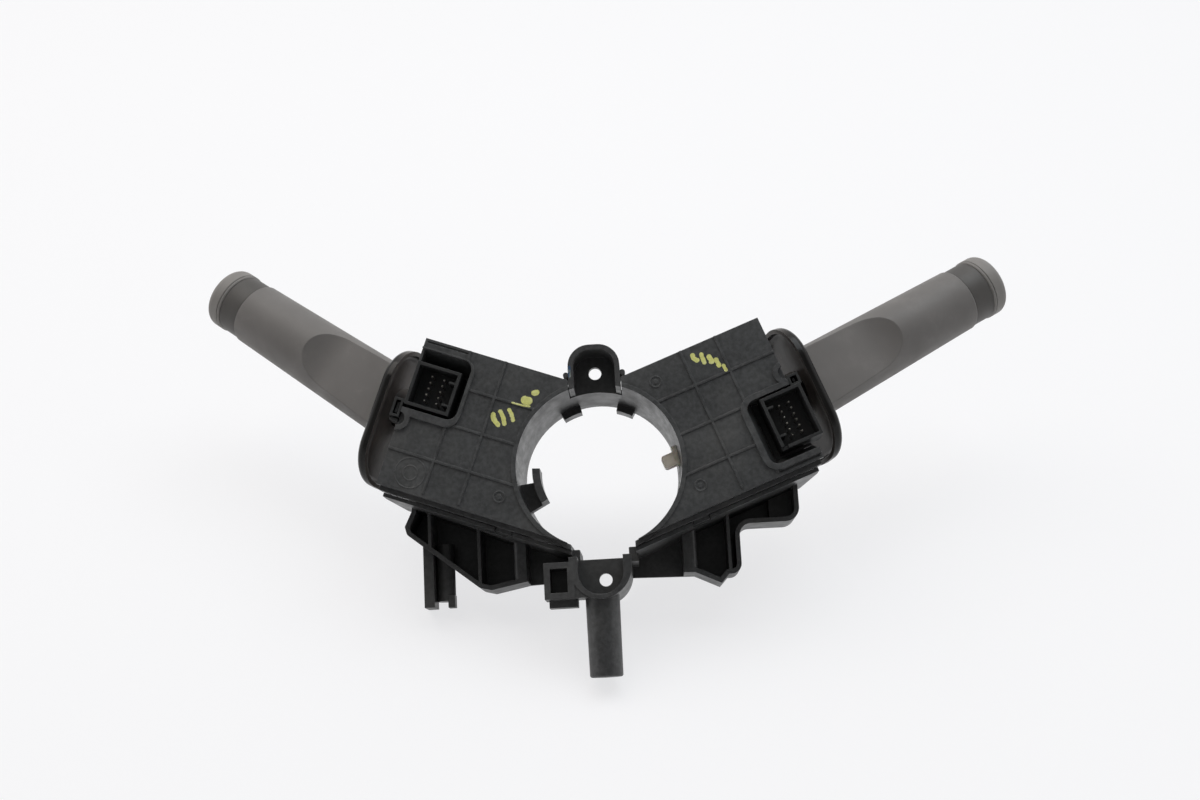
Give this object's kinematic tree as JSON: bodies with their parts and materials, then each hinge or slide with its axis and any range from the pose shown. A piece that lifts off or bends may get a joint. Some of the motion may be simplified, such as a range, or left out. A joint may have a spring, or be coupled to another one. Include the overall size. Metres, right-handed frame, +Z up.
{
  "type": "combination stalk switch",
  "caption": "Steering-column combination switch: ring bracket with two switch modules, each with a connector and a hand stalk that swings, tips and ends in a turning knob.",
  "frame": {"origin": "centre of the column bore in the plane of the two rear covers", "axes": "+X to the turn-signal side, +Y along the column bore towards the driver, +Z up"},
  "size_m": [0.3382, 0.065, 0.1816],
  "materials": {
    "black_moulding": "fine textured black moulding",
    "black_cover": "satin black moulding",
    "shroud_gloss": "polished black",
    "stalk_grey": "fine grained dark grey",
    "collar_dark": "smooth dark grey",
    "pawl_natural": "natural acetal",
    "terminal_metal": "tinned brass",
    "spring_steel": "bright wire"
  },
  "bodies": {
    "bracket": {"column_bracket": "black_moulding", "cancel_spring": "spring_steel", "wiper_housing": "black_moulding", "wiper_rear_cover": "black_cover", "wiper_contact_base": "black_moulding", "wiper_terminals": "terminal_metal", "wiper_detent_block": "pawl_natural", "turn_housing": "black_moulding", "turn_rear_cover": "black_cover", "turn_contact_base": "black_moulding", "turn_terminals": "terminal_metal", "turn_detent_block": "pawl_natural"},
    "wiper_carrier_body": {"wiper_carrier": "pawl_natural", "wiper_cross_pin": "spring_steel", "wiper_contact_slider": "terminal_metal"},
    "wiper_stalk_body": {"wiper_lever_core": "black_moulding", "wiper_shroud": "shroud_gloss", "wiper_grip": "stalk_grey", "wiper_collar": "collar_dark", "wiper_detent_spring": "spring_steel"},
    "wiper_knob_body": {"wiper_knob": "stalk_grey"},
    "wiper_plunger_body": {"wiper_detent_plunger": "spring_steel"},
    "turn_carrier_body": {"turn_carrier": "pawl_natural", "turn_cross_pin": "spring_steel", "turn_contact_slider": "terminal_metal"},
    "turn_stalk_body": {"turn_lever_core": "black_moulding", "turn_shroud": "shroud_gloss", "turn_grip": "stalk_grey", "turn_collar": "collar_dark", "turn_detent_spring": "spring_steel"},
    "turn_knob_body": {"turn_knob": "stalk_grey"},
    "turn_plunger_body": {"turn_detent_plunger": "spring_steel"},
    "pawl_body": {"cancel_pawl": "pawl_natural"}
  },
  "joints": [
    {"name": "wiper_swing", "type": "hinge", "parent": "bracket", "child": "wiper_carrier_body", "pos_m": [-0.06634, 0.023, 0.02245], "axis": [0, 1, 0], "range_deg": [-13.5, 5]},
    {"name": "wiper_pull", "type": "hinge", "parent": "wiper_carrier_body", "child": "wiper_stalk_body", "pos_m": [-0.06634, 0.023, 0.02245], "axis": [-0.6074, 0, -0.7944], "range_deg": [-4, 5], "stiffness_Nm_per_rad": 4},
    {"name": "wiper_dial", "type": "hinge", "parent": "wiper_stalk_body", "child": "wiper_knob_body", "pos_m": [-0.15151, 0.04973, 0.08758], "axis": [-0.7708, 0.2419, 0.5893], "range_deg": [-30, 30]},
    {"name": "wiper_plunger", "type": "slide", "parent": "wiper_stalk_body", "child": "wiper_plunger_body", "axis": [-0.7944, 0, 0.6074], "range_m": [0, 0.0012], "stiffness_N_per_m": 400, "springref_m": -0.003, "deforming": ["wiper_detent_spring"]},
    {"name": "turn_swing", "type": "hinge", "parent": "bracket", "child": "turn_carrier_body", "pos_m": [0.06634, 0.023, 0.02245], "axis": [0, -1, 0], "range_deg": [-1, 15.5]},
    {"name": "turn_pull", "type": "hinge", "parent": "turn_carrier_body", "child": "turn_stalk_body", "pos_m": [0.06634, 0.023, 0.02245], "axis": [-0.4756, 0, 0.8796], "range_deg": [-4, 5], "stiffness_Nm_per_rad": 4},
    {"name": "turn_dial", "type": "hinge", "parent": "turn_stalk_body", "child": "turn_knob_body", "pos_m": [0.16065, 0.04973, 0.07345], "axis": [0.8535, 0.2419, 0.4615], "range_deg": [0, 60]},
    {"name": "turn_plunger", "type": "slide", "parent": "turn_stalk_body", "child": "turn_plunger_body", "axis": [0.8796, 0, 0.4756], "range_m": [0, 0.0012], "stiffness_N_per_m": 400, "springref_m": -0.003, "deforming": ["turn_detent_spring"]},
    {"name": "cancel_pawl_slide", "type": "slide", "parent": "bracket", "child": "pawl_body", "axis": [0.9367, 0, 0.3502], "range_m": [0, 0.006], "stiffness_N_per_m": 150, "springref_m": -0.004, "deforming": ["cancel_spring"]}
  ]
}
